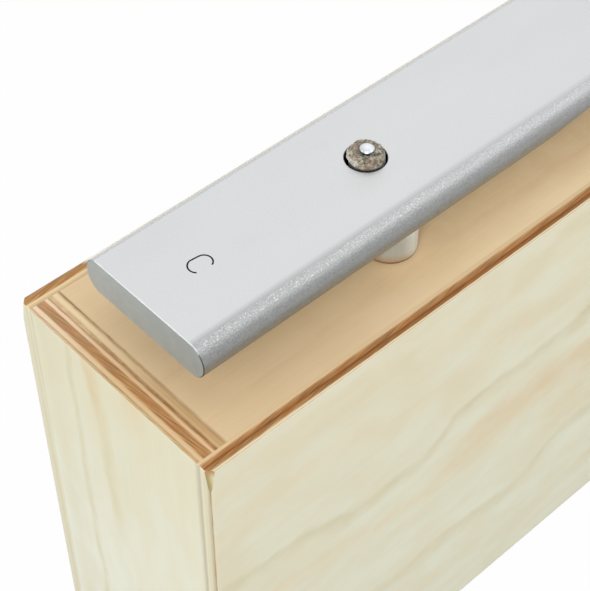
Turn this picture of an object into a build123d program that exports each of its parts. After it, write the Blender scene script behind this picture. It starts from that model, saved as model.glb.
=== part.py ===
from build123d import *
from math import sqrt
import os

# A bass chime bar: an aluminium tone bar on a closed plywood resonator box. The bar rests on four
# rubber buffers and is kept in place by two domed pins with felt sleeves, so that it lifts
# straight off. Millimetres. X runs along the box, with the end that carries the bar's pitch letter
# at -X, Y runs across it, and Z is up. The origin is at the middle of the footprint, at the level
# of the surface that the feet stand on.

# Resonator box
box_length = 492.0
box_width = 100.0
box_height = 216.0        # height of the panels, without the feet
side_thickness = 6.0
end_thickness = 8.0
strip_thickness = 4.0     # the end strip, between end panel and top plate
strip_height = 20.0
plate_thickness = 6.0     # top plate
floor_thickness = 6.0     # bottom plate
sound_hole_diameter = 56.0
corner_round = 1.0        # upright outer corners of the side panels
edge_round = 0.8          # sanded arrises of the panels
corner_wear = 2.4         # how far the worn upper corners are cut back along the top
corner_wear_height = 13.0  # and how far down the upright corner this tapers out
round_limit = 0.8         # the most of a wall that any rounding takes up

# Wood inside the box
batten_size = 10.0
post_size = 14.0
block_length = 30.0       # pin block, along X
block_height = 25.0

# Tone bar
bar_length = 460.0
bar_width = 60.0          # across the rounded sides
bar_flat_width = 50.0     # across the flat top and the flat underside
bar_thickness = 15.0
bar_gap = 12.5            # top plate to underside of the bar
bar_end_chamfer = 0.3
node_inset = 100.0        # bar end to the centre of a node hole
node_hole_diameter = 15.2
node_hole_offset = 0.45   # off the bar's middle line, towards the back
node_hole_chamfer = 0.3
undercut_inset = 156.0    # bar end to where the undercut starts
undercut_ramp = 32.0      # length of the curved run up to its ceiling
undercut_depth = 7.3

# Pitch letter, a plain C read from the bar's end
letter_inset = 24.7       # bar end to the middle of the letter
letter_height = 8.9
letter_width = 5.8
outer_bow = 2.5           # how far its bend nearer the bar's end reaches
inner_bow = 3.2           # how far the other bend reaches
letter_offset = 0.6       # off the bar's middle line, towards the back
letter_turn = 6.0         # degrees clockwise, as it was stamped by hand
letter_stroke = 0.6
letter_depth = 0.4

# Felt sleeves, pins and buffers
felt_diameter = 13.7
felt_rise = 3.2           # felt above the bar's top
felt_crown = 3.0          # rounding of the felt's upper edge
pin_diameter = 3.2
pin_head_diameter = 5.6
pin_head_rim = 0.5
pin_head_dome = 1.3
pin_head_clearance = 0.6  # felt to the underside of the head
pin_grip = 18.0           # length driven into the pin block
shank_clearance = 0.05    # around a driven pin or screw
buffer_diameter = 20.2
buffer_spread = 33.6      # between the two buffers of a node, across the bar
buffer_shift = 4.1        # from the pin towards the bar's end
buffer_round = 1.2

# Feet
foot_height = 4.0
foot_diameter = 18.0
foot_round = 0.8
screw_diameter = 3.0
screw_head_diameter = 6.0
screw_head_height = 1.7
screw_head_recess = 0.8   # head below the tread of the foot
screw_grip = 12.0         # length driven into a corner post

# Levels and places worked out from the sizes above
box_top = foot_height + box_height
plate_underside = box_top - plate_thickness
floor_top = foot_height + floor_thickness
bar_bottom = box_top + bar_gap
bar_top = bar_bottom + bar_thickness
felt_top = bar_top + felt_rise
pin_head_bottom = felt_top + pin_head_clearance
half_length = box_length / 2
half_inner_width = box_width / 2 - side_thickness
end_inside = half_length - end_thickness
strip_inside = end_inside - strip_thickness
strip_bottom = box_top - strip_height
node_x = bar_length / 2 - node_inset
buffer_x = node_x + buffer_shift
post_x = end_inside - post_size / 2
post_y = half_inner_width - post_size / 2
batten_y = half_inner_width - batten_size / 2
ends = {"left": -1, "right": 1}
sides = {"front": -1, "back": 1}

os.makedirs("parts", exist_ok=True)


def finish(piece, name):
    """Labels a finished piece and writes it to the parts folder."""
    piece.part.label = name
    export_step(piece.part, f"parts/{name}.step")


# Tone bar. Each rounded side is one arc from the flat top to the flat underside.
with BuildPart() as tone_bar:
    with BuildSketch(Plane.YZ.offset(-bar_length / 2)):
        with BuildLine():
            left_flat = -bar_flat_width / 2
            right_flat = bar_flat_width / 2
            bar_middle = bar_bottom + bar_thickness / 2
            Line((left_flat, bar_top), (right_flat, bar_top))
            ThreePointArc((right_flat, bar_top), (bar_width / 2, bar_middle), (right_flat, bar_bottom))
            Line((right_flat, bar_bottom), (left_flat, bar_bottom))
            ThreePointArc((left_flat, bar_bottom), (-bar_width / 2, bar_middle), (left_flat, bar_top))
        make_face()
    extrude(amount=bar_length)
    end_faces = tone_bar.faces().filter_by(Axis.X)
    chamfer(end_faces.edges(), length=bar_end_chamfer)
    # The undercut, milled across the whole underside
    with BuildSketch(Plane.XZ.offset(-bar_width / 2)):
        with BuildLine():
            mouth = bar_length / 2 - undercut_inset
            flat_end = mouth - undercut_ramp
            ceiling = bar_bottom + undercut_depth
            Line((-mouth, bar_bottom), (mouth, bar_bottom))
            TangentArc((flat_end, ceiling), (mouth, bar_bottom), tangent=(1, 0))
            Line((flat_end, ceiling), (-flat_end, ceiling))
            TangentArc((-flat_end, ceiling), (-mouth, bar_bottom), tangent=(-1, 0))
        make_face()
    extrude(amount=bar_width, mode=Mode.SUBTRACT)
    # Node holes, their upper edges broken
    with Locations((-node_x, node_hole_offset, bar_top), (node_x, node_hole_offset, bar_top)):
        Hole(node_hole_diameter / 2, depth=bar_thickness)
    hole_rims = tone_bar.edges().filter_by(GeomType.CIRCLE).group_by(Axis.Z)[-1]
    chamfer(hole_rims, length=node_hole_chamfer)
    # The letter, a groove whose open side faces -Y
    letter_place = (-bar_length / 2 + letter_inset, letter_offset, bar_top)
    with BuildSketch(Plane(letter_place).rotated((0, 0, -letter_turn))):
        tall = letter_height / 2
        wide = letter_width / 2
        outer = min(outer_bow, round_limit * tall)
        inner = min(inner_bow, round_limit * tall)
        with BuildLine():
            Line((outer - tall, wide), (tall - inner, wide))
            ThreePointArc((outer - tall, wide), (-tall, wide - outer), (outer / 2 - tall, -wide))
            ThreePointArc((tall - inner, wide), (tall, wide - inner), (tall - inner / 2, -wide))
        trace(line_width=letter_stroke)
    extrude(amount=-letter_depth, mode=Mode.SUBTRACT)
finish(tone_bar, "tone_bar")

# Felt sleeves, pins and the blocks that the pins are driven into
for end, toward in ends.items():
    pin_x = toward * node_x

    with BuildPart() as felt_sleeve:
        with BuildSketch(Plane.XY.offset(box_top)):
            with Locations((pin_x, 0)):
                Circle(felt_diameter / 2)
                Circle(pin_diameter / 2 + shank_clearance, mode=Mode.SUBTRACT)
        extrude(amount=felt_top - box_top)
        upper_edges = felt_sleeve.edges().filter_by(GeomType.CIRCLE).group_by(Axis.Z)[-1]
        felt_wall = (felt_diameter - pin_diameter) / 2
        fillet(upper_edges.sort_by(SortBy.RADIUS)[-1], radius=min(felt_crown, round_limit * felt_wall))
    finish(felt_sleeve, f"felt_sleeve_{end}")

    with BuildPart() as bar_pin:
        pin_tip = plate_underside - pin_grip
        dome_start = pin_head_bottom + pin_head_rim
        with BuildSketch(Plane.XZ):
            with BuildLine():
                Polyline(
                    (pin_x, dome_start + pin_head_dome),
                    (pin_x, pin_tip),
                    (pin_x + pin_diameter / 2, pin_tip + pin_diameter),
                    (pin_x + pin_diameter / 2, pin_head_bottom),
                    (pin_x + pin_head_diameter / 2, pin_head_bottom),
                    (pin_x + pin_head_diameter / 2, dome_start),
                )
                head_radius = pin_head_diameter / 2
                sphere_radius = (head_radius**2 + pin_head_dome**2) / (2 * pin_head_dome)
                half_way = head_radius / 2
                half_drop = sphere_radius - sqrt(sphere_radius**2 - half_way**2)
                ThreePointArc(
                    (pin_x + head_radius, dome_start),
                    (pin_x + half_way, dome_start + pin_head_dome - half_drop),
                    (pin_x, dome_start + pin_head_dome),
                )
            make_face()
        revolve(axis=Axis((pin_x, 0, 0), (0, 0, 1)))
    finish(bar_pin, f"bar_pin_{end}")

    with BuildPart() as pin_block:
        with BuildSketch(Plane.XY.offset(plate_underside - block_height)):
            with Locations((pin_x, 0)):
                Rectangle(block_length, 2 * (half_inner_width - batten_size))
        extrude(amount=block_height)
        with Locations((pin_x, 0, plate_underside)):
            Hole(pin_diameter / 2 + shank_clearance, depth=pin_grip)
    finish(pin_block, f"pin_block_{end}")

# Rubber buffers, two at each node
for end, toward in ends.items():
    for side, facing in sides.items():
        with BuildPart() as rest_buffer:
            with BuildSketch(Plane.XY.offset(box_top)):
                with Locations((toward * buffer_x, facing * buffer_spread / 2)):
                    Circle(buffer_diameter / 2)
            extrude(amount=bar_gap)
            fillet(rest_buffer.edges().filter_by(GeomType.CIRCLE), radius=buffer_round)
        finish(rest_buffer, f"rest_buffer_{end}_{side}")

# Top plate, flush between the panels
with BuildPart() as top_plate:
    with BuildSketch(Plane.XY.offset(plate_underside)):
        Rectangle(2 * strip_inside, 2 * half_inner_width)
        Circle(sound_hole_diameter / 2, mode=Mode.SUBTRACT)
        with Locations((-node_x, 0), (node_x, 0)):
            Circle(pin_diameter / 2 + shank_clearance, mode=Mode.SUBTRACT)
    extrude(amount=plate_thickness)
    upper_rims = top_plate.edges().filter_by(GeomType.CIRCLE).group_by(Axis.Z)[-1]
    fillet(upper_rims.sort_by(SortBy.RADIUS)[-1], radius=edge_round)
finish(top_plate, "top_plate")

# Bottom plate, between all four panels, drilled for the foot screws
with BuildPart() as bottom_plate:
    with BuildSketch(Plane.XY.offset(foot_height)):
        Rectangle(2 * end_inside, 2 * half_inner_width)
        with GridLocations(2 * post_x, 2 * post_y, 2, 2):
            Circle(screw_diameter / 2 + shank_clearance, mode=Mode.SUBTRACT)
    extrude(amount=floor_thickness)
finish(bottom_plate, "bottom_plate")

# Side panels, full length and height, with the battens that are glued to them
for side, facing in sides.items():
    with BuildPart() as side_panel:
        with BuildSketch(Plane.XY.offset(foot_height)):
            with Locations((0, facing * (half_inner_width + side_thickness / 2))):
                Rectangle(box_length, side_thickness)
        extrude(amount=box_height)
        outer_edges = side_panel.faces().sort_by(Axis.Y)[0 if facing < 0 else -1].edges()
        fillet(outer_edges.filter_by(Axis.Z), radius=min(corner_round, round_limit * side_thickness))
        outer_face = side_panel.faces().filter_by(Axis.Y).sort_by(Axis.Y)[0 if facing < 0 else -1]
        fillet(outer_face.edges().filter_by(Axis.X), radius=edge_round)
        # The upper corners are worn down to a steep facet
        wear = min(corner_wear, round_limit * side_thickness)
        for toward in ends.values():
            facet_tip = (toward * half_length, facing * box_width / 2, box_top - corner_wear_height)
            facet_normal = (toward / wear, facing / wear, 1 / corner_wear_height)
            split(bisect_by=Plane(origin=facet_tip, z_dir=facet_normal), keep=Keep.BOTTOM)
    finish(side_panel, f"side_panel_{side}")

    with BuildPart() as top_batten:
        with BuildSketch(Plane.XY.offset(plate_underside - batten_size)):
            with Locations((0, facing * batten_y)):
                Rectangle(2 * strip_inside, batten_size)
        extrude(amount=batten_size)
    finish(top_batten, f"top_batten_{side}")

    with BuildPart() as bottom_batten:
        with BuildSketch(Plane.XY.offset(floor_top)):
            with Locations((0, facing * batten_y)):
                Rectangle(2 * (end_inside - post_size), batten_size)
        extrude(amount=batten_size)
    finish(bottom_batten, f"bottom_batten_{side}")

# End panels and end strips, between the side panels
for end, toward in ends.items():
    with BuildPart() as end_panel:
        with BuildSketch(Plane.XY.offset(foot_height)):
            with Locations((toward * (end_inside + end_thickness / 2), 0)):
                Rectangle(end_thickness, 2 * half_inner_width)
        extrude(amount=box_height)
        outer_face = end_panel.faces().sort_by(Axis.X)[0 if toward < 0 else -1]
        fillet(outer_face.edges().filter_by(Axis.Y), radius=edge_round)
    finish(end_panel, f"end_panel_{end}")

    with BuildPart() as end_strip:
        with BuildSketch(Plane.XY.offset(strip_bottom)):
            with Locations((toward * (strip_inside + strip_thickness / 2), 0)):
                Rectangle(strip_thickness, 2 * half_inner_width)
        extrude(amount=strip_height)
    finish(end_strip, f"end_strip_{end}")

# Corner posts and feet, one above the other at each corner of the box
for end, toward in ends.items():
    for side, facing in sides.items():
        corner = (toward * post_x, facing * post_y)

        with BuildPart() as corner_post:
            with BuildSketch(Plane.XY.offset(floor_top)):
                with Locations(corner):
                    Rectangle(post_size, post_size)
            extrude(amount=strip_bottom - floor_top)
            with BuildSketch(Plane.XY.offset(floor_top)):
                with Locations(corner):
                    Circle(screw_diameter / 2 + shank_clearance)
            extrude(amount=screw_grip, mode=Mode.SUBTRACT)
        finish(corner_post, f"corner_post_{end}_{side}")

        with BuildPart() as foot:
            with BuildSketch(Plane.XY):
                with Locations(corner):
                    Circle(foot_diameter / 2)
            extrude(amount=foot_height)
            fillet(foot.edges().filter_by(GeomType.CIRCLE).group_by(Axis.Z)[0], radius=foot_round)
            with BuildSketch(Plane.XY):
                with Locations(corner):
                    Circle(screw_head_diameter / 2 + shank_clearance)
            extrude(amount=screw_head_recess + screw_head_height, mode=Mode.SUBTRACT)
            with BuildSketch(Plane.XY):
                with Locations(corner):
                    Circle(screw_diameter / 2 + shank_clearance)
            extrude(amount=foot_height, mode=Mode.SUBTRACT)
        finish(foot, f"foot_{end}_{side}")

# The four foot screws, pan heads down, from the feet into the corner posts
with BuildPart() as foot_screws:
    with BuildSketch(Plane.XY.offset(screw_head_recess)):
        with GridLocations(2 * post_x, 2 * post_y, 2, 2):
            Circle(screw_head_diameter / 2)
    extrude(amount=screw_head_height)
    with BuildSketch(Plane.XY.offset(screw_head_recess)):
        with GridLocations(2 * post_x, 2 * post_y, 2, 2):
            Circle(screw_diameter / 2)
    extrude(amount=floor_top + screw_grip - screw_head_recess)
finish(foot_screws, "foot_screws")
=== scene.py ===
import math

import bmesh
import bpy
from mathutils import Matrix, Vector, noise


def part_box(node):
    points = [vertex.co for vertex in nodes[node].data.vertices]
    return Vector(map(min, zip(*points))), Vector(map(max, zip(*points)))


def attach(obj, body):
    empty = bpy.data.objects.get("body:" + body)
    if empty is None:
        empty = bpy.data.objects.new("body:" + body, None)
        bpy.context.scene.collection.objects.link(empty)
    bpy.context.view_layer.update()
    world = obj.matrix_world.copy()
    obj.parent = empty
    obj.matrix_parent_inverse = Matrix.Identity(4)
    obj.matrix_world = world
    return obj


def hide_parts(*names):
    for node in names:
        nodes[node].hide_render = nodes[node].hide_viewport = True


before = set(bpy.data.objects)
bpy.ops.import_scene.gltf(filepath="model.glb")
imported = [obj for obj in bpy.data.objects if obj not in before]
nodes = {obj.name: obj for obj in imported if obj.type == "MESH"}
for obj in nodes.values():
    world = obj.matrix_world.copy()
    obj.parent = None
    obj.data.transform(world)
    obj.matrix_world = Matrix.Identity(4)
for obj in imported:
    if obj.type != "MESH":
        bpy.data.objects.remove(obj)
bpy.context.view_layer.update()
mm = 0.001
print("frame loaded:", len(nodes), "nodes")


def linear(hexColour):  # sRGB hex to the linear values that a shader takes
    shares = [int(hexColour[i:i + 2], 16) / 255 for i in (1, 3, 5)]
    return tuple(s / 12.92 if s <= 0.04045 else ((s + 0.055) / 1.055) ** 2.4 for s in shares) + (1.0,)


def addNode(tree, kind, *values, named=None, stops=None, curve=None, **settings):
    # values fill the open inputs in order, named ones go by name, and a node passes on its first open output
    node = tree.nodes.new("ShaderNode" + kind)
    for name, setting in settings.items():
        setattr(node, name, setting)
    filled = list(zip([socket for socket in node.inputs if socket.enabled], values))
    filled += [(node.inputs[name], value) for name, value in (named or {}).items()]
    for socket, value in filled:
        if isinstance(value, bpy.types.Node):
            value = next(output for output in value.outputs if output.enabled)
        if isinstance(value, bpy.types.NodeSocket):
            tree.links.new(value, socket)
        elif value is not None:
            socket.default_value = linear(value) if isinstance(value, str) else value
    if stops:  # a ramp's places from 0 to 1 with their colours
        elements = node.color_ramp.elements
        while len(elements) < len(stops):
            elements.new(1.0)
        for element, (place, colour) in zip(elements, stops):
            element.position = place
            element.color = linear(colour)
    if curve:  # a float curve's points, from 0 to 1 both ways
        points = node.mapping.curves[0].points
        points[0].location, points[1].location = curve[0], curve[-1]
        for point in curve[1:-1]:
            points.new(*point)
        node.mapping.update()
    return node


def newMaterial(name, **surface):
    material = bpy.data.materials.new(name)
    material.use_nodes = True
    tree = material.node_tree
    shader = tree.nodes["Principled BSDF"]
    for setting, value in surface.items():
        socket = shader.inputs[setting.replace("_", " ")]
        socket.default_value = linear(value) if isinstance(value, str) else value
    metres = addNode(tree, "TexCoord").outputs["Object"]
    place = addNode(tree, "VectorMath", metres, (1000, 1000, 1000), operation="MULTIPLY")  # millimetres
    xyz = dict(zip("XYZ", addNode(tree, "SeparateXYZ", place).outputs))
    return material, tree, shader, place, xyz


def mottle(tree, place, size, along="", stretch=1, detail=2.0, roughness=0.5, seed=0.0):
    # soft noise from 0 to 1 whose grains are about size mm wide, and longer by stretch along the named axes
    scale = tuple(1 / (size * (stretch if axis in along else 1)) for axis in "XYZ")
    mapped = addNode(tree, "Mapping", place, (seed, seed, seed), None, scale)
    return addNode(tree, "TexNoise", mapped, 1.0, detail, roughness)


def dress(material, slot, *names):
    for name in names:
        piece = nodes[name]
        piece.data.materials.clear()
        piece.data.materials.append(material)


def millimetreBox(name):
    low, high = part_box(name)
    return [value / mm for value in low], [value / mm for value in high]


def spinProfile(profile, segments, closed):
    # a section of (radius, level) points in millimetres, spun round the Z axis
    mesh = bmesh.new()
    ring = [mesh.verts.new((radius, 0, level)) for radius, level in profile]
    lines = [mesh.edges.new(pair) for pair in zip(ring, ring[1:] + (ring[:1] if closed else []))]
    bmesh.ops.spin(mesh, geom=ring + lines, axis=(0, 0, 1), cent=(0, 0, 0), steps=segments, angle=math.tau,
                   use_merge=True)
    return mesh


def smoothObject(name, mesh, material):
    data = bpy.data.meshes.new(name)
    mesh.to_mesh(data)
    mesh.free()
    for polygon in data.polygons:
        polygon.use_smooth = True
    data.materials.append(material)
    made = bpy.data.objects.new(name, data)
    bpy.context.scene.collection.objects.link(made)
    return made


# Camera, at the photograph's place
camera = {"place": (-0.42515, -0.28441, 0.62441), "turn": 47.417, "tilt": 47.58, "focalPixels": 1597.3,
          "imageWidth": 590}
cameraData = bpy.data.cameras.new("camera")
cameraData.sensor_fit = "HORIZONTAL"
cameraData.lens = camera["focalPixels"] * cameraData.sensor_width / camera["imageWidth"]
cameraObject = bpy.data.objects.new("camera", cameraData)
cameraObject.location = camera["place"]
cameraObject.rotation_euler = (math.radians(90 - camera["tilt"]), 0, math.radians(camera["turn"] - 90))
bpy.context.scene.collection.objects.link(cameraObject)
bpy.context.scene.camera = cameraObject
print("camera placed")

# Studio: a pale floor, soft lamps, and a pale world that is brightest above and behind the object
studio = {"floorColour": "#BEBEBC", "floorSize": 12.0, "floorDrop": 0.1, "floorGlow": 0.98,
          "whiteFrom": (200, 700), "footprint": (250, 54), "worldColour": "#FFFFFF",
          "brightSide": (0.72, 0.45, 0.53), "worldDim": 0.26, "worldBright": 1.10, "worldShare": 0.74}
lamps = {
    "overheadSoftbox": {"place": (0.3, 0.4, 2.2), "aim": (0.0, 0.0, 0.2), "size": (2.0, 2.0), "power": 3},
    "frontSoftbox": {"place": (0.75, -1.2, 1.5), "aim": (-0.15, 0.0, 0.22), "size": (1.4, 0.5), "power": 3.8},
    "cameraSoftbox": {"place": (-2.1, -1.8, 1.85), "aim": (-0.15, 0.0, 0.1), "size": (1.8, 1.8), "power": 91},
    "leftSoftbox": {"place": (-1.85, 1.1, 1.25), "aim": (-0.23, 0.0, 0.24), "size": (1.0, 1.0), "power": 6},
}

bpy.context.scene.view_settings.view_transform = "Standard"

world = bpy.data.worlds.new("paleStudio")
world.use_nodes = True
bpy.context.scene.world = world
tree = world.node_tree
tree.nodes.clear()
direction = addNode(tree, "TexCoord").outputs["Generated"]
towards = addNode(tree, "VectorMath", direction, studio["brightSide"], operation="DOT_PRODUCT")
reflected = addNode(tree, "MapRange", towards, -0.4, 1.0, studio["worldDim"], studio["worldBright"])
rays = addNode(tree, "LightPath").outputs
lighting = addNode(tree, "Math", reflected, studio["worldShare"], operation="MULTIPLY")
gloss = addNode(tree, "Math", rays["Is Glossy Ray"], rays["Is Transmission Ray"], operation="MAXIMUM")
strength = addNode(tree, "Mix", gloss, lighting, reflected)
strength = addNode(tree, "Mix", rays["Is Camera Ray"], strength, 1.0)
sky = addNode(tree, "Background", studio["worldColour"], strength)
addNode(tree, "OutputWorld", sky)

for name, lamp in lamps.items():
    lampData = bpy.data.lights.new(name, "AREA")
    lampData.shape = "RECTANGLE"
    lampData.size, lampData.size_y = lamp["size"]
    lampData.energy = lamp["power"]
    lampObject = bpy.data.objects.new(name, lampData)
    lampObject.location = lamp["place"]
    aim = Vector(lamp["aim"]) - Vector(lamp["place"])
    lampObject.rotation_euler = aim.to_track_quat("-Z", "Y").to_euler()
    bpy.context.scene.collection.objects.link(lampObject)

floorMesh = bmesh.new()
bmesh.ops.create_grid(floorMesh, x_segments=1, y_segments=1, size=studio["floorSize"] / 2)
bmesh.ops.translate(floorMesh, verts=floorMesh.verts, vec=(0, 0, -studio["floorDrop"] * mm))
floorData = bpy.data.meshes.new("studioFloor")
floorMesh.to_mesh(floorData)
floorMesh.free()
floorObject = bpy.data.objects.new("studioFloor", floorData)
bpy.context.scene.collection.objects.link(floorObject)
floorMaterial, tree, shader, place, xyz = newMaterial("paleFloor", Base_Color=studio["floorColour"],
                                                     Roughness=0.9)
rays = addNode(tree, "LightPath").outputs
seen = addNode(tree, "Math", rays["Is Camera Ray"], rays["Is Transmission Ray"], operation="MAXIMUM")
# the floor behind is white to the bar's far side, which mirrors it
behind = addNode(tree, "MapRange", xyz["Y"], *studio["whiteFrom"])
behind = addNode(tree, "Math", behind, rays["Is Glossy Ray"], operation="MULTIPLY")
seen = addNode(tree, "Math", seen, behind, operation="MAXIMUM")
share = addNode(tree, "Math", seen, studio["floorGlow"], operation="MULTIPLY")
glow = addNode(tree, "Emission", "#FFFFFF", 1.0)
mixed = addNode(tree, "MixShader", share, shader, glow)
# the floor is clear from below, and lets light up to the underside, so that it can be looked at from there
inside = [addNode(tree, "Math", addNode(tree, "Math", xyz[axis], operation="ABSOLUTE"), reach,
                  operation="LESS_THAN")
          for axis, reach in zip("XY", studio["footprint"])]
footprint = addNode(tree, "Math", inside[0], inside[1], operation="MULTIPLY")
through = addNode(tree, "Math", footprint, rays["Is Diffuse Ray"], operation="MULTIPLY")
underside = addNode(tree, "NewGeometry").outputs["Backfacing"]
through = addNode(tree, "Math", through, underside, operation="MAXIMUM")
mixed = addNode(tree, "MixShader", through, mixed, addNode(tree, "BsdfTransparent"))
tree.links.new(mixed.outputs[0], tree.nodes["Material Output"].inputs["Surface"])
floorData.materials.append(floorMaterial)
print("studio lit")

# Tone bar: extruded aluminium, bead blasted and clear anodised. The eye sees a silvery satin whose rounded
# sides sparkle. Real bead marks are about 0.1 mm and are drawn coarser, as wide as they need to show.
bar = {"colour": "#D5D7D7", "cloudColour": "#CED0D1", "cloudSize": 18.0, "lowerShadeColour": "#A7ACAF",
       "roughness": 0.40, "grain": 0.55, "topHeight": 0.02, "sideHeight": 0.17, "topSparkle": 0.035,
       "sideSparkle": 0.13, "flecks": 0.34, "glintColour": "#FFFFFF", "glintFade": (-220, -110, 1.5, 0.8),
       "nearShadeSide": (-22.3, -24.7), "nearShadeFade": (-220, -60, 0.90, 1.06),
       "nearShades": [(0, 1), (0.17, 1), (0.29, 0.95), (0.41, 0.85), (0.62, 0.82), (0.79, 0.80), (0.91, 0.77),
                     (1, 0.77)],
       "endColour": "#C2CACA", "endRoughness": 0.6, "endShade": (-25, 25, 0.92, 1.04), "endCloudSize": 4.0,
       "cutHighlight": "#D3D6D7", "cutShade": "#5C5E5E",
       "letterColour": "#333537", "letterFromEnd": 24.7, "letterReach": 8.0, "letterDepth": 0.7,
       "holeX": 130, "holeY": 0.45, "holeRadius": 7.6, "holeShadeColour": "#1B1B1A"}
barLow, barHigh = millimetreBox("tone_bar")
barMaterial, tree, shader, place, xyz = newMaterial("beadBlastedAluminium", Metallic=1.0)
normal = addNode(tree, "NewGeometry").outputs["Normal"]
facing = dict(zip("XYZ", addNode(tree, "SeparateXYZ", normal).outputs))
steep = addNode(tree, "Math", facing["Z"], operation="ABSOLUTE")
endwise = addNode(tree, "Math", facing["X"], operation="ABSOLUTE")
grain = mottle(tree, place, bar["grain"], detail=2.0, roughness=0.6)
clouds = mottle(tree, place, bar["cloudSize"], along="X", stretch=3)
tint = addNode(tree, "Mix", clouds, bar["colour"], bar["cloudColour"], data_type="RGBA")
# painted shade and reflection: the sides are darker from their middle down and as they turn down, most on the
# near side; painted sparkle and glints where they start to turn down
lowerShade = addNode(tree, "MapRange", facing["Z"], 0.55, 0.0, interpolation_type="SMOOTHSTEP")
tint = addNode(tree, "Mix", lowerShade, tint, bar["lowerShadeColour"], data_type="RGBA")
nearShade = addNode(tree, "FloatCurve", 1.0, steep, curve=bar["nearShades"])  # by how far it has turned down
nearShade = addNode(tree, "Math", nearShade, addNode(tree, "MapRange", xyz["X"], *bar["nearShadeFade"]),
                   operation="MULTIPLY")
nearShade = addNode(tree, "Mix", addNode(tree, "MapRange", xyz["Y"], *bar["nearShadeSide"]), 1.0, nearShade)
tint = addNode(tree, "Mix", 1.0, tint, nearShade, data_type="RGBA", blend_type="MULTIPLY")
roundedSide = addNode(tree, "MapRange", steep, 0.985, 0.93)
# painted sparkle: the grain speckles the colour more on the rounded sides
sparkleReach = addNode(tree, "Mix", roundedSide, bar["topSparkle"], bar["sideSparkle"])
sparkle = addNode(tree, "MapRange", grain, 0.35, 0.65, -1.0, 1.0)
sparkle = addNode(tree, "Math", sparkle, sparkleReach, operation="MULTIPLY")
sparkle = addNode(tree, "Math", sparkle, 1.0, operation="ADD")
tint = addNode(tree, "Mix", 1.0, tint, sparkle, data_type="RGBA", blend_type="MULTIPLY")
# painted glints: white specks where the sides start to turn down, brighter near the end
fleck = addNode(tree, "MapRange", grain, 0.56, 0.66, 0.0, bar["flecks"])
fleck = addNode(tree, "Math", fleck, addNode(tree, "MapRange", xyz["X"], *bar["glintFade"]),
                operation="MULTIPLY")
fleck = addNode(tree, "Math", fleck, addNode(tree, "MapRange", steep, 0.93, 0.84), operation="MULTIPLY")
fleck = addNode(tree, "Math", fleck, addNode(tree, "MapRange", steep, 0.58, 0.74), operation="MULTIPLY")
tint = addNode(tree, "Mix", fleck, tint, bar["glintColour"], data_type="RGBA")
# the sawn ends: duller and softly clouded, with painted shade towards the front; their chamfered top edge
# gets a painted highlight above and painted shade where it turns under
endShare = addNode(tree, "MapRange", endwise, 0.9, 0.98)
endClouds = mottle(tree, place, bar["endCloudSize"], detail=5.0, roughness=0.65)
endTone = addNode(tree, "MapRange", endClouds, 0.3, 0.7, 0.94, 1.05)
endTint = addNode(tree, "Mix", 1.0, bar["endColour"], endTone, data_type="RGBA", blend_type="MULTIPLY")
# painted shade: the end is darker towards the front
endShade = addNode(tree, "MapRange", xyz["Y"], *bar["endShade"])
endTint = addNode(tree, "Mix", 1.0, endTint, endShade, data_type="RGBA", blend_type="MULTIPLY")
tint = addNode(tree, "Mix", endShare, tint, endTint, data_type="RGBA")
# painted highlight and painted shade on the chamfered edge
cutEdge = addNode(tree, "MapRange", endwise, 0.25, 0.45)
cutEdge = addNode(tree, "Math", cutEdge, addNode(tree, "MapRange", endwise, 0.98, 0.92), operation="MULTIPLY")
cutHighlightShare = addNode(tree, "MapRange", facing["Z"], 0.45, 0.62)
cutLightAndShade = addNode(tree, "Mix", cutHighlightShare, bar["cutShade"], bar["cutHighlight"], data_type="RGBA")
tint = addNode(tree, "Mix", cutEdge, tint, cutLightAndShade, data_type="RGBA")
# the letter's groove: whatever lies just below the top within the letter's reach
offEnd = addNode(tree, "Math", xyz["X"], barLow[0] + bar["letterFromEnd"], operation="SUBTRACT")
letter = addNode(tree, "MapRange", xyz["Z"], barHigh[2] - 0.06, barHigh[2] - 0.16)
for value in (offEnd, xyz["Y"]):
    inside = addNode(tree, "Math", addNode(tree, "Math", value, operation="ABSOLUTE"), bar["letterReach"],
                     operation="LESS_THAN")
    letter = addNode(tree, "Math", letter, inside, operation="MULTIPLY")
grooved = addNode(tree, "Math", xyz["Z"], barHigh[2] - bar["letterDepth"], operation="GREATER_THAN")
letter = addNode(tree, "Math", letter, grooved, operation="MULTIPLY")
tint = addNode(tree, "Mix", letter, tint, bar["letterColour"], data_type="RGBA")
# painted shade: the wall of each hole is black, as the gap round the felt is in shade
offHole = addNode(tree, "Math", addNode(tree, "Math", xyz["X"], operation="ABSOLUTE"), bar["holeX"],
                  operation="SUBTRACT")
offSide = addNode(tree, "Math", xyz["Y"], bar["holeY"], operation="SUBTRACT")
away = addNode(tree, "VectorMath", addNode(tree, "CombineXYZ", offHole, offSide), operation="LENGTH")
holeShade = addNode(tree, "MapRange", away, bar["holeRadius"] + 0.25, bar["holeRadius"] + 0.1)
holeShade = addNode(tree, "Math", holeShade, addNode(tree, "MapRange", xyz["Z"], barHigh[2] - 0.1, barHigh[2] - 0.5),
               operation="MULTIPLY")
tint = addNode(tree, "Mix", holeShade, tint, bar["holeShadeColour"], data_type="RGBA")
tree.links.new(tint.outputs[2], shader.inputs["Base Color"])
roughGrain = addNode(tree, "MapRange", grain, 0.2, 0.8, bar["roughness"] - 0.05, bar["roughness"] + 0.07)
rough = addNode(tree, "Mix", endShare, roughGrain, bar["endRoughness"])
tree.links.new(rough.outputs[0], shader.inputs["Roughness"])
grainReach = addNode(tree, "Mix", roundedSide, bar["topHeight"], bar["sideHeight"])
grainReach = addNode(tree, "Mix", addNode(tree, "MapRange", endwise, 0.2, 0.4), grainReach, 0.0)
height = addNode(tree, "Math", grain, grainReach, operation="MULTIPLY")
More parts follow.
